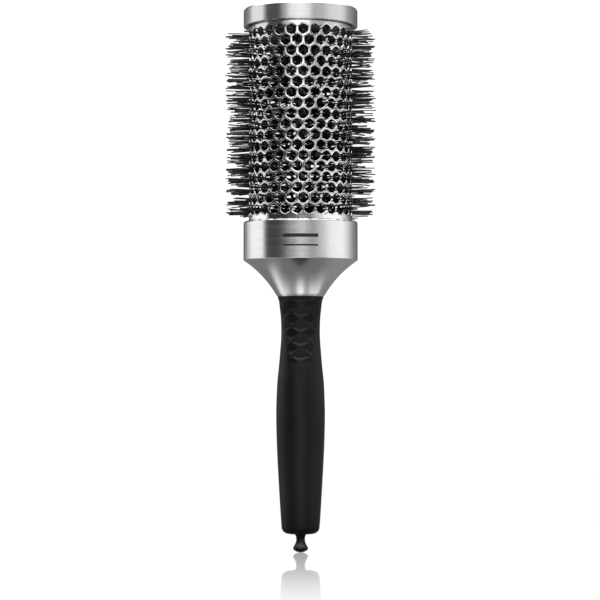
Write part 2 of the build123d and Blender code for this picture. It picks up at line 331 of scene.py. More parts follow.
def grown(name, graph, values, parts=()):
    """A new object with the plain mesh that a geometry tree makes; the parts it copied are removed."""
    seed = new_piece(name + "_seed", bpy.data.meshes.new(name + "_seed"))
    growth = seed.modifiers.new("growth", "NODES")
    growth.node_group = graph.tree
    for item in graph.tree.interface.items_tree:
        if item.item_type == "SOCKET" and item.in_out == "INPUT":
            growth[item.identifier] = values[item.name]
    depsgraph = bpy.context.evaluated_depsgraph_get()
    mesh = bpy.data.meshes.new_from_object(seed.evaluated_get(depsgraph), depsgraph=depsgraph)
    for spent in (seed, *parts):
        bpy.data.objects.remove(spent)
    return new_piece(name, mesh)


# ---------------------------------------------------------------- shader groups

def shader_group(name, inputs, outputs):
    tree = bpy.data.node_groups.new(name, "ShaderNodeTree")
    for label, default in inputs.items():
        tree.interface.new_socket(label, in_out="INPUT", socket_type="NodeSocketFloat").default_value = default
    for label in outputs:
        tree.interface.new_socket(label, in_out="OUTPUT", socket_type="NodeSocketFloat")
    graph = Graph(tree)
    graph.start = tree.nodes.new("NodeGroupInput")
    return graph


def turned_grain():
    """Fine grooves left by the lathe, as a height and a small change of roughness."""
    graph = shader_group("turned grain", {"Grooves": 9000.0, "Streaks": 60.0}, ("Height", "Streak"))
    place = graph.add("ShaderNodeTexCoord").outputs["Object"]
    apart = graph.add("ShaderNodeSeparateXYZ", {0: place}).outputs
    out = graph.math("SQRT", graph.math("ADD", graph.math("MULTIPLY", apart[0], apart[0]),
                                        graph.math("MULTIPLY", apart[1], apart[1])))
    along = graph.math("ADD", graph.math("MULTIPLY", out, graph.take("Grooves")),
                       graph.math("MULTIPLY", apart[2], graph.take("Grooves")))
    fine = graph.vector(graph.math("MULTIPLY", apart[0], graph.take("Streaks")),
                        graph.math("MULTIPLY", apart[1], graph.take("Streaks")), along)
    grooves = graph.add("ShaderNodeTexNoise", {"Vector": fine, "Scale": 1.0, "Detail": 3.0, "Roughness": 0.6})
    broad = graph.vector(graph.math("MULTIPLY", apart[0], 25.0), graph.math("MULTIPLY", apart[1], 25.0),
                         graph.math("MULTIPLY", along, 0.12))
    streak = graph.add("ShaderNodeTexNoise", {"Vector": broad, "Scale": 1.0, "Detail": 2.0})
    graph.add("NodeGroupOutput", {"Height": grooves.outputs["Fac"], "Streak": streak.outputs["Fac"]})
    return graph.tree


def handling_marks():
    """Soft smudges and fine specks, for finishes that hands touch."""
    graph = shader_group("handling marks", {"Smudge Size": 90.0, "Speck Size": 2600.0}, ("Smudge", "Speck"))
    place = graph.add("ShaderNodeTexCoord").outputs["Object"]
    smudge = graph.add("ShaderNodeTexNoise", {
        "Vector": place, "Scale": graph.take("Smudge Size"), "Detail": 4.0, "Roughness": 0.55, "Distortion": 0.4})
    speck = graph.add("ShaderNodeTexNoise", {
        "Vector": place, "Scale": graph.take("Speck Size"), "Detail": 2.0, "Roughness": 0.5})
    graph.add("NodeGroupOutput", {"Smudge": smudge.outputs["Fac"], "Speck": speck.outputs["Fac"]})
    return graph.tree


GRAIN = turned_grain()
MARKS = handling_marks()


def finish(name, colour, metallic=0.0, roughness=0.5, spread=0.1, shades=0.1, grain=None, bump=0.0, **values):
    """A material on the Principled shader: colour shaded by smudges, roughness by streaks or smudges."""
    material = bpy.data.materials.new(name)
    material.use_nodes = True
    material.diffuse_color = (*colour, 1)
    graph = Graph(material.node_tree)
    shader = material.node_tree.nodes["Principled BSDF"]
    shader.inputs["Metallic"].default_value = metallic
    for label, value in values.items():
        shader.inputs[label.replace("_", " ")].default_value = value
    marks = graph.add("ShaderNodeGroup", node_tree=MARKS)
    tint = graph.add("ShaderNodeMix", {
        0: marks.outputs["Smudge"],
        6: (*[c * (1 - shades) for c in colour], 1),
        7: (*[min(c * (1 + shades), 1) for c in colour], 1),
    }, data_type="RGBA")
    material.node_tree.links.new(tint.outputs[2], shader.inputs["Base Color"])
    if grain:
        pattern = graph.add("ShaderNodeGroup", node_tree=GRAIN)
        pattern.inputs["Grooves"].default_value = grain
        vary, height = pattern.outputs["Streak"], pattern.outputs["Height"]
    else:
        vary, height = marks.outputs["Smudge"], marks.outputs["Speck"]
    rough = graph.add("ShaderNodeMapRange", {
        "Value": vary, "From Min": 0.3, "From Max": 0.7,
        "To Min": roughness - spread / 2, "To Max": roughness + spread / 2})
    material.node_tree.links.new(rough.outputs[0], shader.inputs["Roughness"])
    if bump:
        relief = graph.add("ShaderNodeBump", {"Strength": bump, "Distance": 0.1 * MM, "Height": height})
        material.node_tree.links.new(relief.outputs[0], shader.inputs["Normal"])
    return material


POLISHED_BARREL = finish("polished aluminium", (0.63, 0.63, 0.635), 1.0, 0.06, 0.02, 0.03, grain=5000, bump=0.03)
SATIN_TRIM = finish("satin anodised aluminium", (0.62, 0.62, 0.622), 1.0, 0.19, 0.05, 0.02, grain=7000, bump=0.08)
DRAWN_WIRE = finish("drawn steel wire", (0.22, 0.22, 0.23), 1.0, 0.35, 0.15, 0.1, bump=0.05)
INNER_PLASTIC = finish("matte black plastic", (0.008, 0.008, 0.0085), 0.0, 0.5, 0.12, 0.15, bump=0.12,
                       Specular_IOR_Level=0.4)
BLACK_NYLON = finish("black nylon filament", (0.004, 0.004, 0.0045), 0.0, 0.35, 0.1, 0.2, Specular_IOR_Level=0.25)
SOFT_TOUCH = finish("soft touch rubber", (0.0032, 0.0032, 0.0034), 0.0, 0.38, 0.06, 0.1, bump=0.16,
                    Specular_IOR_Level=0.17)
GLOSS_BLACK = finish("gloss black plastic", (0.003, 0.003, 0.003), 0.0, 0.06, 0.03, 0.1,
                     Specular_IOR_Level=0.22)
PRINT_INK = finish("dark print ink", (0.012, 0.012, 0.0125), 0.0, 0.5, 0.1, 0.1, Specular_IOR_Level=0.25)


def settle(piece, body, material=None, nodes=()):
    """Gives a finished piece its material and body, and hides the nodes it stands for."""
    if material:
        piece.data.materials.clear()
        piece.data.materials.append(material)
    if nodes:
        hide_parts(*nodes)
    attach(piece, body)


# ---------------------------------------------------------------- barrel

def hexagon_side(width, height, corner, share):
    """A point on a pointed-top hexagon: its side from one corner to the next, at a share of the way."""
    corners = [(0, height), (-width, height / 2), (-width, -height / 2),
               (0, -height), (width, -height / 2), (width, height / 2)]
    a = Vector(corners[corner % 6])
    b = Vector(corners[(corner + 1) % 6])
    return a.lerp(b, share)


def vent_cell():
    """One cell of the perforated sheet, flat in XZ, from its outline to the rim of its vent."""
    bm = bmesh.new()
    hole = (VENT_PITCH - VENT_WEB) / 2
    outer, inner = [], []
    for corner in range(6):
        for share in (0, 1 / 3, 2 / 3):
            edge = hexagon_side(VENT_PITCH / 2, 2 * ROW_PITCH / 3, corner, share)
            rim = hexagon_side(hole, 2 * hole / 3**0.5, corner, 0.5 + (share - 0.5) * 1.05 if share else 0)
            if share == 0:
                rim = rim * 0.94
            outer.append(bm.verts.new((edge.x, 0, edge.y)))
            inner.append(bm.verts.new((rim.x, 0, rim.y)))
    for k in range(18):
        n = (k + 1) % 18
        bm.faces.new((outer[k], outer[n], inner[n], inner[k]))
    return piece_from(bm, "vent_cell")


def plain_edge(name, up, reach):
    """The plain sheet between one cell of an end row and the straight edge of the tube."""
    bm = bmesh.new()
    first = 5 if up else 2  # the corner that the zigzag starts from
    zigzag = [hexagon_side(VENT_PITCH / 2, 2 * ROW_PITCH / 3, first + step // 3, (step % 3) / 3)
              for step in range(7)]
    rows = [[bm.verts.new((p.x, 0, p.y)) for p in zigzag],
            [bm.verts.new((p.x, 0, reach)) for p in zigzag]]
    for a, b, c, d in zip(rows[0], rows[0][1:], rows[1][1:], rows[1]):
        bm.faces.new((a, b, c, d))
    return piece_from(bm, name)


def perforation_graph():
    """Lays cells in staggered rows and rolls the sheet into a tube."""
    graph = geometry_graph(
        "perforated tube", Cell="NodeSocketObject", Top_Edge="NodeSocketObject", Low_Edge="NodeSocketObject",
        Columns="NodeSocketInt", Rows="NodeSocketInt", Pitch="NodeSocketFloat", Row_Pitch="NodeSocketFloat",
        Top_Row="NodeSocketFloat", Phase="NodeSocketFloat", Radius="NodeSocketFloat", Metal="NodeSocketMaterial")
    take, math = graph.take, graph.math
    line = graph.add("GeometryNodeMeshLine", {"Count": math("MULTIPLY", take("Columns"), take("Rows")),
                                              "Offset": (0, 0, 0)})
    index = graph.add("GeometryNodeInputIndex").outputs[0]
    column = math("FLOORED_MODULO", index, take("Columns"))
    row = math("FLOOR", math("DIVIDE", math("ADD", index, 0.5), take("Columns")))
    stagger = math("MULTIPLY", math("FLOORED_MODULO", row, 2.0), 0.5)
    across = math("MULTIPLY", math("ADD", column, stagger), take("Pitch"))
    height = math("SUBTRACT", take("Top Row"), math("MULTIPLY", row, take("Row Pitch")))
    laid = graph.add("GeometryNodeSetPosition", {"Geometry": line.outputs[0],
                                                 "Position": graph.vector(across, 0.0, height)})
    is_top = math("LESS_THAN", row, 0.5)
    is_low = math("GREATER_THAN", row, math("SUBTRACT", take("Rows"), 1.5))
    copies = []
    for label, chosen in (("Cell", None), ("Top Edge", is_top), ("Low Edge", is_low)):
        shape = graph.add("GeometryNodeObjectInfo", {"Object": take(label)})
        wires = {"Points": laid.outputs[0], "Instance": shape.outputs["Geometry"]}
        if chosen is not None:
            wires["Selection"] = chosen
        copies.append(graph.add("GeometryNodeInstanceOnPoints", wires).outputs[0])
    joined = graph.add("GeometryNodeJoinGeometry")
    for copy in copies:
        graph.tree.links.new(copy, joined.inputs[0])
    real = graph.add("GeometryNodeRealizeInstances", {0: joined.outputs[0]}).outputs[0]
    place = graph.add("ShaderNodeSeparateXYZ", {0: graph.add("GeometryNodeInputPosition").outputs[0]}).outputs
    turn = math("ADD", math("DIVIDE", place[0], take("Radius")), take("Phase"))
    rolled = graph.add("GeometryNodeSetPosition", {"Geometry": real, "Position": graph.vector(
        math("MULTIPLY", math("COSINE", turn), take("Radius")),
        math("MULTIPLY", math("SINE", turn), take("Radius")), place[2])})
    welded = graph.add("GeometryNodeMergeByDistance", {"Geometry": rolled.outputs[0], "Distance": 0.02 * MM})
    close_geometry(graph, welded.outputs[0], take("Metal"))
    return graph


def make_barrel():
    parts = (vent_cell(), plain_edge("top_edge", True, barrel.top - TOP_ROW),
             plain_edge("low_edge", False, barrel.bottom - LOW_ROW))
    tube = grown("vented_barrel", perforation_graph(), {
        "Cell": parts[0], "Top Edge": parts[1], "Low Edge": parts[2], "Columns": VENTS_AROUND, "Rows": ROWS,
        "Pitch": VENT_PITCH, "Row Pitch": ROW_PITCH, "Top Row": TOP_ROW, "Phase": FRONT + VENT_PHASE,
        "Radius": barrel.radius, "Metal": POLISHED_BARREL}, parts)
    bm = bmesh.new()
    bm.from_mesh(tube.data)
    bmesh.ops.recalc_face_normals(bm, faces=bm.faces)
    bm.faces.ensure_lookup_table()
    middle = bm.faces[0]
    if middle.normal.dot(middle.calc_center_median()) < 0:
        bmesh.ops.reverse_faces(bm, faces=bm.faces)
    bm.to_mesh(tube.data)
    bm.free()
    wall = tube.modifiers.new("wall", "SOLIDIFY")
    wall.thickness = BARREL_WALL
    wall.offset = -1
    roll = tube.modifiers.new("rolled rims", "BEVEL")
    roll.width = VENT_RIM
    roll.segments = 2
    roll.limit_method = "ANGLE"
    roll.angle_limit = radians(50)
    tube.modifiers.new("even shading", "WEIGHTED_NORMAL")
    tube.data.shade_smooth()
    settle(tube, "brush", nodes=["barrel_tube"])


# ---------------------------------------------------------------- bristles

def strand(kind):
    """A filament from 0 to 1 along X, with a slight crimp that its kind sets."""
    bm = bmesh.new()
    crimp, waves = STRAND_CRIMPS[kind]
    levels = []
    for step in range(STRAND_STEPS + 1):
        share = step / STRAND_STEPS
        sway = crimp * MM * sin(tau * waves * share) * share
        slant = 0.25 * STRAND_RADIUS if step == STRAND_STEPS else 0
        level = []
        for side in range(STRAND_SIDES):
            turn = tau * (side + 0.5) / STRAND_SIDES
            level.append(bm.verts.new((
                share + 6 * slant * cos(turn), sway + STRAND_RADIUS * cos(turn), STRAND_RADIUS * sin(turn))))
        levels.append(level)
    for low, high in zip(levels, levels[1:]):
        for side in range(STRAND_SIDES):
            after = (side + 1) % STRAND_SIDES
            bm.faces.new((low[side], low[after], high[after], high[side]))
    bm.faces.new(levels[-1])
    bm.faces.new(reversed(levels[0]))
    bmesh.ops.recalc_face_normals(bm, faces=bm.faces)
    piece = piece_from(bm, f"strand_{kind}")
    piece.data.shade_smooth()
    return piece


def bristle_graph():
    """Filaments from the twisted wires out through the vents, thick where a sheet of them meets a row."""
    graph = geometry_graph(
        "barrel bristles", **{f"Strand_{k}": "NodeSocketObject" for k in range(STRAND_KINDS)},
        Columns="NodeSocketInt", Rows="NodeSocketInt", Strands="NodeSocketInt", Row_Pitch="NodeSocketFloat",
        Top_Row="NodeSocketFloat", Phase="NodeSocketFloat", Radius="NodeSocketFloat", Root="NodeSocketFloat",
        Short_Tip="NodeSocketFloat", Long_Tip="NodeSocketFloat", Spread="NodeSocketFloat",
        Lead="NodeSocketFloat", Sheet_Start="NodeSocketFloat", Lean="NodeSocketFloat",
        Nylon="NodeSocketMaterial")
    take, math = graph.take, graph.math
    index = graph.add("GeometryNodeInputIndex").outputs[0]

    def chance(low, high, seed):
        node = graph.add("FunctionNodeRandomValue", data_type="FLOAT")
        node.inputs[2].default_value = low
        node.inputs[3].default_value = high
        node.inputs["Seed"].default_value = seed
        return node.outputs[1]

    total = math("MULTIPLY", math("MULTIPLY", take("Columns"), take("Rows")), take("Strands"))
    line = graph.add("GeometryNodeMeshLine", {"Count": total, "Offset": (0, 0, 0)})
    vent = math("FLOOR", math("DIVIDE", math("ADD", index, 0.5), take("Strands")))
    column = math("FLOORED_MODULO", vent, take("Columns"))
    row = math("FLOOR", math("DIVIDE", math("ADD", vent, 0.5), take("Columns")))
    stagger = math("MULTIPLY", math("FLOORED_MODULO", row, 2.0), 0.5)
    step = math("DIVIDE", tau, take("Columns"))
    sideways = math("DIVIDE", math("MULTIPLY", chance(-1, 1, 1), take("Spread")), take("Radius"))
    turn = math("ADD", math("MULTIPLY", math("ADD", column, stagger), step), take("Phase"))
    turn = math("ADD", turn, sideways)
    vent_height = math("ADD", math("SUBTRACT", take("Top Row"), math("MULTIPLY", row, take("Row Pitch"))),
                       math("MULTIPLY", chance(-1, 1, 2), take("Spread")))
    sheets = math("MULTIPLY", take("Lead"), 0.5)
    climb = math("SUBTRACT", take("Sheet Start"), math("MULTIPLY", math("DIVIDE", turn, tau), take("Lead")))
    off = math("SUBTRACT", math("FLOORED_MODULO", math("SUBTRACT", vent_height, climb), sheets),
               math("MULTIPLY", sheets, 0.5))
    share = math("DIVIDE", math("ABSOLUTE", off), math("MULTIPLY", sheets, 0.5))
    is_kept = math("LESS_THAN", math("ADD", math("MULTIPLY", math("POWER", share, 2.0), SHEET_LOSS),
                                     chance(0, STRAND_ODDS, 3)), 1.0)
    root_height = math("SUBTRACT", vent_height, math("MULTIPLY", off, take("Lean")))
    root = graph.vector(math("MULTIPLY", math("COSINE", turn), take("Root")),
                        math("MULTIPLY", math("SINE", turn), take("Root")), root_height)
    laid = graph.add("GeometryNodeSetPosition", {"Geometry": line.outputs[0], "Position": root})
    rise = math("DIVIDE", math("SUBTRACT", vent_height, root_height),
                math("SUBTRACT", take("Radius"), take("Root")))
    aim = graph.vector(math("COSINE", turn), math("SINE", turn), math("ADD", rise, chance(*STRAND_TILT, 4)))
    facing = graph.add("FunctionNodeAlignRotationToVector", {"Vector": aim}, axis="X")
    roll = graph.add("FunctionNodeAxisAngleToRotation", {"Axis": (1, 0, 0), "Angle": chance(0, tau, 5)})
    rolled = graph.add("FunctionNodeRotateRotation", {
        "Rotation": facing.outputs[0], "Rotate By": roll.outputs[0]}, rotation_space="LOCAL")
    reach = graph.add("FunctionNodeRandomValue", data_type="FLOAT")
    graph.tree.links.new(take("Short Tip"), reach.inputs[2])
    graph.tree.links.new(take("Long Tip"), reach.inputs[3])
    reach.inputs["Seed"].default_value = 6
    length = math("MULTIPLY", math("SUBTRACT", reach.outputs[1], take("Root")),
                  math("SQRT", math("ADD", math("MULTIPLY", rise, rise), 1.0)))
    kinds = graph.add("GeometryNodeGeometryToInstance")
    for kind in reversed(range(STRAND_KINDS)):
        shape = graph.add("GeometryNodeObjectInfo", {"Object": take(f"Strand {kind}")})
        graph.tree.links.new(shape.outputs["Geometry"], kinds.inputs[0])
    pick_kind = graph.add("FunctionNodeRandomValue", data_type="INT")
    pick_kind.inputs[4].default_value = 0
    pick_kind.inputs[5].default_value = STRAND_KINDS - 1
    pick_kind.inputs["Seed"].default_value = 7
    copies = graph.add("GeometryNodeInstanceOnPoints", {
        "Points": laid.outputs[0], "Selection": is_kept, "Instance": kinds.outputs[0], "Pick Instance": True,
        "Instance Index": pick_kind.outputs[2], "Rotation": rolled.outputs[0],
        "Scale": graph.vector(length, 1.0, 1.0)})
    close_geometry(graph, copies.outputs[0], take("Nylon"))
    return graph


def make_bristles():
    kinds = [strand(kind) for kind in range(STRAND_KINDS)]
    values = {f"Strand {k}": piece for k, piece in enumerate(kinds)}
    values.update({
        "Columns": VENTS_AROUND, "Rows": ROWS, "Strands": STRANDS_PER_VENT, "Row Pitch": ROW_PITCH,
        "Top Row": TOP_ROW, "Phase": FRONT + VENT_PHASE, "Radius": barrel.radius, "Root": ROOT_RADIUS,
        "Short Tip": TIP_RADIUS - SHORTEST, "Long Tip": TIP_RADIUS - LONGEST, "Spread": STRAND_SPREAD,
        "Lead": WIRE_LEAD, "Sheet Start": SHEET_START, "Lean": SHEET_LEAN, "Nylon": BLACK_NYLON})
    bristles = grown("nylon_bristles", bristle_graph(), values, kinds)
    rows = [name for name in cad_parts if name.startswith("bristle_row_")]
    settle(bristles, "brush", nodes=rows)


# ---------------------------------------------------------------- turned pieces

def make_end_ring():
    bore = radii("end_ring", grille.top)[0] / MM
    seat = barrel.radius / MM + 0.05
    top, low, out = ring.top / MM, ring.bottom / MM, ring.radius / MM
    lip = 1.0
    outline = rounded([
        (bore, grille.top / MM, 0), (bore, top, 0.3), (bore + 0.4, top, 0), (out - 1.35, top, 0), (out, top, 1.2),
        (out, top - 1.35, 0), (out, low + 0.45, 0), (out, low, 0.3),
        (seat + 1.1, low, 0.25), (seat + 0.9, low + 1.6, 0), (seat, low + 1.6, 0), (seat, top - lip, 0),
        (seat - lip, top - lip, 0), (seat - lip, grille.top / MM, 0)], loop=True)
    settle(lathe("ring_cap", outline, loop=True), "brush", SATIN_TRIM, ["end_ring"])


def make_collar():
    out = collar.radius
    band_low = rims("collar", out)[0]
    neck_bore, neck = radii("collar", collar.bottom)
    hollow = 1.3 * MM / 2**0.5
    middle = ((out + neck) / 2 - hollow, (band_low + collar.bottom) / 2 + hollow)
    flare = arc_through((neck, collar.bottom), middle, (out, band_low))
    seat = barrel.radius + 0.05 * MM
    shell = 1.9 * MM
    outside = [Vector((neck - 0.25 * MM, collar.bottom))] + flare[1:-1]
    face, low, top = out / MM, band_low / MM, collar.top / MM
    edge = rounded([
        (flare[-2].x / MM, flare[-2].y / MM, 0), (face, low, 0.25), (face, low + 0.4, 0), (face, top - 0.95, 0),
        (face, top, 0.8), (seat / MM + 0.35, top, 0), (seat / MM, top - 0.35, 0)])
    inside = [Vector((seat, band_low + shell)), Vector((neck_bore, collar.bottom + 3.8 * MM)),
              Vector((neck_bore, collar.bottom))]
    settle(lathe("collar_shell", outside + edge[1:] + inside, loop=True, angle=25), "brush",
           SATIN_TRIM, ["collar"])


def make_print():
    """Two plain printed bars on the front of the band."""
    bm = bmesh.new()
    steps = 24
    turns = [PRINT_HALF_TURN * (2 * k / steps - 1) for k in range(steps + 1)]
    for drop, tall in PRINT_BARS:
        height = collar.top - drop
        edges = [[bm.verts.new((r * sin(turn), -r * cos(turn), z)) for turn in turns]
                 for r in (collar.radius + PRINT_PROUD, collar.radius - PRINT_SUNK)
                 for z in (height - tall / 2, height + tall / 2)]
        low, top, back_low, back_top = edges
        for a, b in ((low, top), (top, back_top), (back_top, back_low), (back_low, low)):
            for k in range(steps):
                bm.faces.new((a[k], a[k + 1], b[k + 1], b[k]))
        for k in (0, steps):
            bm.faces.new((low[k], top[k], back_top[k], back_low[k]))
    settle(finished(bm, "printed_bars"), "brush", PRINT_INK)


def make_pick():
    """The knob, neck and shoulder that show, and the tapering shaft inside the handle."""
    shoulder = grip.bottom / MM
    widest, rim = 1.75, 3.3
    knob = [(0.0, 0.0)]
    knob += [(rim * sin(radians(a)), widest - widest * cos(radians(a)) ** 1.15) for a in range(10, 81, 10)]
    knob += [(rim, widest), (3.22, 2.1), (2.76, 2.92), (2.36, 3.7), (2.08, 4.4), (1.93, 5.1), (1.9, 5.7),
             (1.93, 6.3), (2.03, 6.9), (2.22, 7.3)]
    turned = [Vector(point) * MM for point in knob]
    shaft = rounded([(2.42, shoulder - 0.5, 0), (2.45, shoulder, 0.2), (1.5, shoulder, 0.1),
                     (1.5, pick.top / MM - 26, 0), (0.7, pick.top / MM - 0.7, 0.5), (0, pick.top / MM, 0)])
    settle(lathe("pick_and_knob", turned + shaft, sides=SMALL_SIDES, angle=50), "pick",
           GLOSS_BLACK, ["sectioning_pick"])


def make_bush():
    span = Span("pick_bush")
    bore = radii("pick_bush", span.bottom)[0] / MM
    out = span.radius / MM
    low, top = span.bottom / MM, span.top / MM
    outline = rounded([(bore, top, 0), (bore, low, 0.35), (out, low, 0.12), (out, top, 0)], loop=True)
    settle(lathe("bush_sleeve", outline, sides=SMALL_SIDES, loop=True), "brush", INNER_PLASTIC,
           ["pick_bush"])


# ---------------------------------------------------------------- end grille

def bar_into(bm, start, end, width, low, top, turn):
    """A spoke with softened edges, from one radius to another."""
    corners = []
    soft = 0.3 * MM
    for r in (start, end):
        for y, z in ((-width / 2, low), (width / 2, low), (width / 2, top - soft), (width / 2 - soft, top),
                     (-width / 2 + soft, top), (-width / 2, top - soft)):
            corners.append(bm.verts.new((r * cos(turn) - y * sin(turn), r * sin(turn) + y * cos(turn), z)))
    near, far = corners[:6], corners[6:]
    for k in range(6):
        bm.faces.new((near[k], near[(k + 1) % 6], far[(k + 1) % 6], far[k]))
    bm.faces.new(reversed(near))
    bm.faces.new(far)


def make_grille():
    """Rim, middle ring and hub, joined by spokes, as one moulding."""
    bm = bmesh.new()
    low, top, out = grille.bottom / MM, grille.top / MM, grille.radius / MM
    for inner, outer in ((out - 1.9, out), (11.5, 13.0)):
        lathe_into(bm, rounded([(inner, low, 0.2), (outer, low, 0.2), (outer, top, 0.3), (inner, top, 0.3)],
                               loop=True, steps=3), SMALL_SIDES * 2, loop=True)
    lathe_into(bm, rounded([(0, low + 2.2, 0), (2.45, low + 2.2, 0), (2.45, low, 0.2), (4.5, low, 0.3),
                            (4.5, top, 0.5), (3.0, top, 0.2), (2.7, top - 0.5, 0.2), (0, top - 0.5, 0)], steps=3),
               SMALL_SIDES)
    for spoke in range(6):
        bar_into(bm, 4.2 * MM, (out - 1.6) * MM, 1.7 * MM, grille.bottom + 0.1 * MM, grille.top - 0.1 * MM,
                 tau * spoke / 6)
    settle(finished(bm, "grille_moulding"), "brush", INNER_PLASTIC, ["end_grille"])


# ---------------------------------------------------------------- grip

# The grip's silhouette as (height above its lower end, radius), in millimetres
GRIP_OUTLINE = [
    (0, 8.05), (8.2, 8.65), (20.3, 9.38), (32.4, 10.05), (41.5, 10.41), (50.6, 10.6), (58.1, 10.46), (65.7, 10.08),
    (71.8, 9.46), (77.9, 8.92), (83.9, 8.48), (87.9, 8.39), (93.1, 8.56), (96.1, 8.85), (99.1, 9.2), (100.9, 9.47),
    (102.4, 10.05),
]


def grip_radius(height):
    return flowing(GRIP_OUTLINE, (height - grip.bottom) / MM) * MM


def ramp_up(value, low, high):
    """0 below low, 1 above high, and even between."""
    return min(max((value - low) / (high - low), 0), 1)


def relief(turn, height):
    """How far the grip's face stands above its silhouette: pits below it, the wedge above it."""
    aside = abs(asin(max(-1, min(1, sin(turn)))))
    drop = grip.top - height
    across = abs((aside / CELL_TURN + 1) % 2 - 1)  # 0 at a middle node, 1 at a side node
    level = -(drop - CELL_DROP) / CELL_HEIGHT
    over = (level - CELL_WING * across) % 1
    split = 1 - across
    if over < split:
        pit = min(over / UPPER_SLOPES[0], (split - over) / UPPER_SLOPES[1])
        pit *= 0.5 + 0.6 * ramp_up(across, 0.1, 0.4)
    else:
        pit = min((over - split) / LOWER_SLOPES[0], (1 - over) / LOWER_SLOPES[1]) * LOWER_DEPTH
    edge = TEXTURE_EDGE - TEXTURE_NARROWING * ramp_up(drop, 12 * MM, 29 * MM)
    fade = 1 - ramp_up(aside, edge - TEXTURE_FADE, edge)
    fade *= 1 - ramp_up(drop, 28.2 * MM, 30.4 * MM)
    fade *= ramp_up(drop, 0.5 * MM, 1.4 * MM)
    down = (drop - WEDGE_TOP) / WEDGE_LENGTH
    wedge = 0
    if cos(turn) > 0 and 0 <= down <= 1 and aside * grip_radius(height) < WEDGE_HALF_WIDTH * (1 - down):
        wedge = WEDGE_RISE * (1 - down)
    return wedge - CELL_DEPTH * fade * min(max(pit, 0), CELL_FLOOR)


def make_grip():
    """The soft moulding: a smooth body, its lower end, and the pressed facets under the collar."""
    columns = round(tau / CELL_TURN) * CELL_STEPS
    fine = CELL_HEIGHT / 2 / CELL_STEPS
    coarse = 1.1 * MM
    corner = 2.9 * MM
    socket = radii("pick_bush", grip.bottom)[1]
    core = radii("handle_core", grip.top)[1]
    foot = [(socket, grip.bottom)]
    base = grip_radius(grip.bottom + corner)
    for step in range(9):
        turn = pi / 2 * step / 8
        foot.append((base - corner + corner * sin(turn), grip.bottom + corner - corner * cos(turn)))
    heights = []
    height = grip.top
    while height > grip.bottom + corner + coarse / 2:
        heights.append(height)
        height -= fine if grip.top - height < WEDGE_TOP + WEDGE_LENGTH else coarse
    heights.reverse()
    bm = bmesh.new()
    turns = [tau * k / columns for k in range(columns)]

    def level(z, sizes):
        return [bm.verts.new((r * sin(turn), -r * cos(turn), z)) for r, turn in zip(sizes, turns)]

    levels = [level(z, [r] * columns) for r, z in foot]
    levels += [level(z, [grip_radius(z) + relief(turn, z) for turn in turns]) for z in heights]
    inner = min(8.0 * MM, core)
    under = grip.top - 1 * MM
    levels += [level(z, [r] * columns) for r, z in ((inner, grip.top), (inner, under), (socket, under))]
    levels.append(levels[0])
    for low, high in zip(levels, levels[1:]):
        for k in range(columns):
            n = (k + 1) % columns
            bm.faces.new((low[k], low[n], high[n], high[k]))
    settle(finished(bm, "soft_grip", angle=14), "brush", SOFT_TOUCH, ["handle_grip"])


# ---------------------------------------------------------------- hidden pieces

def dress_cad_nodes():
    """Finishes for the nodes that keep their own shape."""
    for node, material in (("core_wire_1", DRAWN_WIRE), ("core_wire_2", DRAWN_WIRE),
                           ("barrel_seat", INNER_PLASTIC), ("handle_core", INNER_PLASTIC)):
        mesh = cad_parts[node].data
        mesh.materials.clear()
        mesh.materials.append(material)


# ---------------------------------------------------------------- studio

def panels(graph, direction, stops):
    """Light from a ring of soft panels about the brush; the angles are from the front, towards +X."""
    around = graph.math("ARCTAN2", direction[0], graph.math("MULTIPLY", direction[1], -1.0))
    ramp_node = graph.add("ShaderNodeValToRGB", {0: graph.math("ADD", graph.math("DIVIDE", around, tau), 0.5)})
    ramp = ramp_node.color_ramp
    ramp.interpolation = "EASE"
    while len(ramp.elements) < len(stops):
        ramp.elements.new(0.5)
    for element, (angle, light) in zip(ramp.elements, stops):
        element.position = angle / 360 + 0.5
        element.color = (light, light, light, 1)
    return ramp_node.outputs[0]


# Soft panels of light as (angle in degrees, brightness). The rays that the metal mirrors meet HIGH_PANELS where
# they climb most, and LOW_PANELS where they climb least or fall.
HIGH_PANELS = [
    (-180, 0.12), (-164, 0.1), (-150, 0.2), (-125, 0.25), (-114, 1.1), (-84, 1.1), (-72, 0.1),
    (-46, 0.1), (-30, 0.75), (-20, 1.6), (0, 1.75), (14, 1.55), (28, 0.6), (44, 0.58), (66, 0.9), (88, 1.0),
    (116, 0.36), (146, 0.2), (164, 0.1), (180, 0.12)]
MIDDLE_PANELS = [
    (-180, 0.12), (-164, 0.1), (-146, 0.3), (-124, 1.5), (-84, 1.6), (-76, 0.02), (-10, 0.04),
    (10, 0.05), (22, 0.3), (36, 1.1), (60, 1.6), (96, 1.5), (116, 0.8), (140, 0.2), (164, 0.1), (180, 0.12)]
LOW_PANELS = [
    (-180, 0.12), (-164, 0.1), (-146, 0.32), (-130, 0.6), (-114, 1.4), (-84, 1.4), (-71, 0.09),
    (-38, 0.08), (-14, 0.4), (0, 1.05), (8, 0.85), (20, 0.42), (32, 0.4), (46, 0.74), (66, 1.35), (90, 1.5),
    (108, 1.05), (128, 0.42), (146, 0.3), (164, 0.1), (180, 0.12)]
# The floor glows with FLOOR_PANELS near the brush and FAR_FLOOR_PANELS farther out, as painted light for the rays
# that the brush mirrors.
FLOOR_PANELS = [
    (-180, 0.34), (-130, 0.24), (-108, 1.3), (-80, 1.4), (-50, 0.56), (-34, 0.56), (-9, 1.6), (9, 1.6),
    (28, 0.68), (44, 0.72), (62, 1.6), (84, 1.6), (116, 0.34), (180, 0.34)]
FAR_FLOOR_PANELS = [
    (-180, 0.26), (-110, 0.2), (-60, 0.08), (-40, 0.1), (-12, 1.3), (12, 1.3), (44, 0.1), (80, 0.1), (110, 0.3),
    (180, 0.3)]


def bare_graph(owner):
    """The emptied node tree of a new material or world."""
    owner.use_nodes = True
    owner.node_tree.nodes.clear()
    return Graph(owner.node_tree)


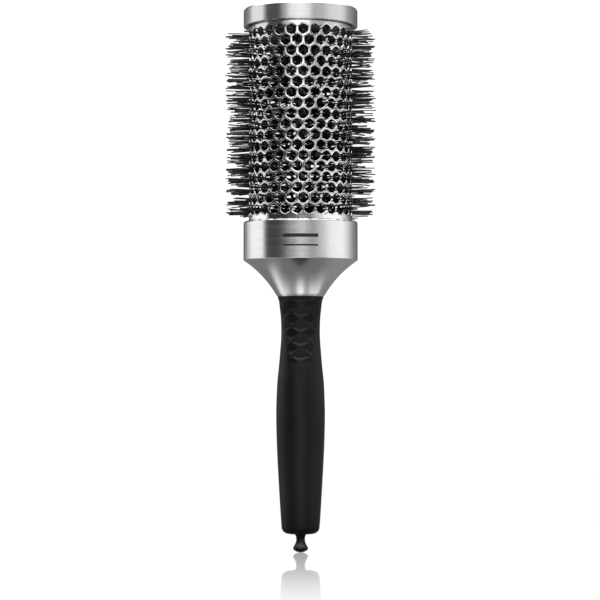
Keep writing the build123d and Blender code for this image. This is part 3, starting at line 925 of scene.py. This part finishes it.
def gradient(graph, value, low, high, below, above):
    """Goes over softly from one value or colour to another as a measure rises."""
    share = graph.add("ShaderNodeMapRange", {"Value": value, "From Min": low, "From Max": high},
                      interpolation_type="SMOOTHSTEP").outputs[0]
    return graph.add("ShaderNodeMix", {0: share, 6: below, 7: above}, data_type="RGBA").outputs[2]


def make_floor():
    """A wide pale floor with a mirror sheen that fades a short way from the brush, under a clear veil. For the
    rays that the brush mirrors, the floor glows instead: painted panels of light, with a painted dim patch round
    the brush's foot.
    """
    bm = bmesh.new()
    half = 1.5
    corners = ((-half, -half, 0), (half, -half, 0), (half, half, 0), (-half, half, 0))
    bm.faces.new([bm.verts.new(corner) for corner in corners])
    floor = piece_from(bm, "floor")
    veil = new_piece("floor_veil", floor.data.copy())
    floor.location.z = CAD_BOX[0].z
    veil.location.z = floor.location.z + 0.05 * MM

    material = bpy.data.materials.new("pale floor")
    graph = bare_graph(material)
    place = graph.add("ShaderNodeTexCoord").outputs["Object"]
    away = graph.add("ShaderNodeVectorMath", {0: place}, operation="LENGTH").outputs["Value"]
    oval = graph.add("ShaderNodeVectorMath", {0: place, 1: (0.5, 1, 1)}, operation="MULTIPLY").outputs[0]
    oval_away = graph.add("ShaderNodeVectorMath", {0: oval}, operation="LENGTH").outputs["Value"]

    def blend(share, first, second):
        return graph.add("ShaderNodeMixShader", {0: share, 1: first, 2: second}).outputs[0]

    def eased(low, high, start, end):
        return graph.add("ShaderNodeMapRange", {
            "Value": away, "From Min": low, "From Max": high, "To Min": start, "To Max": end},
            interpolation_type="SMOOTHSTEP").outputs[0]

    matte = graph.add("ShaderNodeBsdfDiffuse", {"Color": (0.04, 0.04, 0.04, 1)}).outputs[0]
    glow = graph.add("ShaderNodeEmission", {"Strength": 0.96}).outputs[0]
    lit = graph.add("ShaderNodeAddShader", {0: matte, 1: glow}).outputs[0]
    sheen = graph.add("ShaderNodeBsdfGlossy", {"Color": (1, 1, 1, 1), "Roughness": 0.03}).outputs[0]
    clear = graph.add("ShaderNodeBsdfTransparent").outputs[0]
    shown = blend(eased(0.5, 1.2, 0.0, 1.0), blend(eased(0.0, 0.235, 0.6, 0.0), lit, sheen), clear)
    apart = graph.add("ShaderNodeSeparateXYZ", {0: place}).outputs
    # Painted light and shade: for mirrored rays the floor glows dim round the brush's foot, as painted shade, and
    # with painted panels of light farther out.
    near = gradient(graph, oval_away, 0.026, 0.08, (0.22, 0.22, 0.22, 1), panels(graph, apart, FLOOR_PANELS))
    light = gradient(graph, away, 0.16, 0.32, near, panels(graph, apart, FAR_FLOOR_PANELS))
    mirrored = graph.add("ShaderNodeEmission", {"Color": light}).outputs[0]
    seen = graph.add("ShaderNodeLightPath").outputs["Is Camera Ray"]
    graph.add("ShaderNodeOutputMaterial", {"Surface": blend(seen, mirrored, shown)})
    floor.data.materials.append(material)

    unseen = bpy.data.materials.new("clear veil")
    graph = bare_graph(unseen)
    clear = graph.add("ShaderNodeBsdfTransparent").outputs[0]
    graph.add("ShaderNodeOutputMaterial", {"Surface": clear})
    veil.data.materials.append(unseen)


def make_world():
    """White surroundings for the eye and the floor, and soft panels of light and shade for the metal to mirror.

    The clear veil over the floor is what tells the floor's own mirrored rays from the metal's.
    """
    world = bpy.data.worlds.new("studio")
    bpy.context.scene.world = world
    graph = bare_graph(world)
    way = graph.add("ShaderNodeSeparateXYZ", {0: graph.add("ShaderNodeTexCoord").outputs["Generated"]}).outputs
    low, middle, high = (panels(graph, way, stops) for stops in (LOW_PANELS, MIDDLE_PANELS, HIGH_PANELS))
    walls = gradient(graph, way[2], 0.11, 0.15, gradient(graph, way[2], 0.064, 0.07, low, middle), high)
    light = gradient(graph, way[2], 0.4, 0.8, walls, (3.8, 3.8, 3.8, 1))
    backdrop = graph.add("ShaderNodeBackground", {"Color": (1, 1, 1, 1), "Strength": 1.05}).outputs[0]
    path = graph.add("ShaderNodeLightPath").outputs
    by_floor = graph.math("GREATER_THAN", path["Transparent Depth"], 0.5)
    light = graph.add("ShaderNodeMix", {0: by_floor, 6: light, 7: (1.05, 1.05, 1.05, 1)},
                      data_type="RGBA").outputs[2]
    mirrored = graph.add("ShaderNodeBackground", {"Color": light, "Strength": 1.0}).outputs[0]
    seen = path["Is Camera Ray"]
    blend = graph.add("ShaderNodeMixShader", {0: seen, 1: mirrored, 2: backdrop}).outputs[0]
    graph.add("ShaderNodeOutputWorld", {"Surface": blend})


def soft_light(name, place, size, power):
    lamp = bpy.data.lights.new(name, "AREA")
    lamp.shape = "RECTANGLE"
    lamp.size, lamp.size_y = size
    lamp.energy = power
    light = bpy.data.objects.new(name, lamp)
    light.location = place
    light.rotation_euler = (Vector((0, 0, 0.12)) - Vector(place)).to_track_quat("-Z", "Y").to_euler()
    bpy.context.scene.collection.objects.link(light)


def make_camera():
    data = bpy.data.cameras.new("camera")
    data.lens = CAMERA_LENS
    data.sensor_width = 36
    camera = bpy.data.objects.new("camera", data)
    camera.location = CAMERA_PLACE
    camera.rotation_euler = (Vector(CAMERA_TARGET) - camera.location).to_track_quat("-Z", "Y").to_euler()
    bpy.context.scene.collection.objects.link(camera)
    bpy.context.scene.camera = camera


make_camera()
make_floor()
make_world()
soft_light("top softbox", (0.15, -0.45, 1.1), (0.7, 0.5), 4)
bpy.context.scene.view_settings.view_transform = "Standard"

make_barrel()
make_bristles()
make_end_ring()
make_grille()
make_collar()
make_print()
make_grip()
make_bush()
make_pick()
dress_cad_nodes()
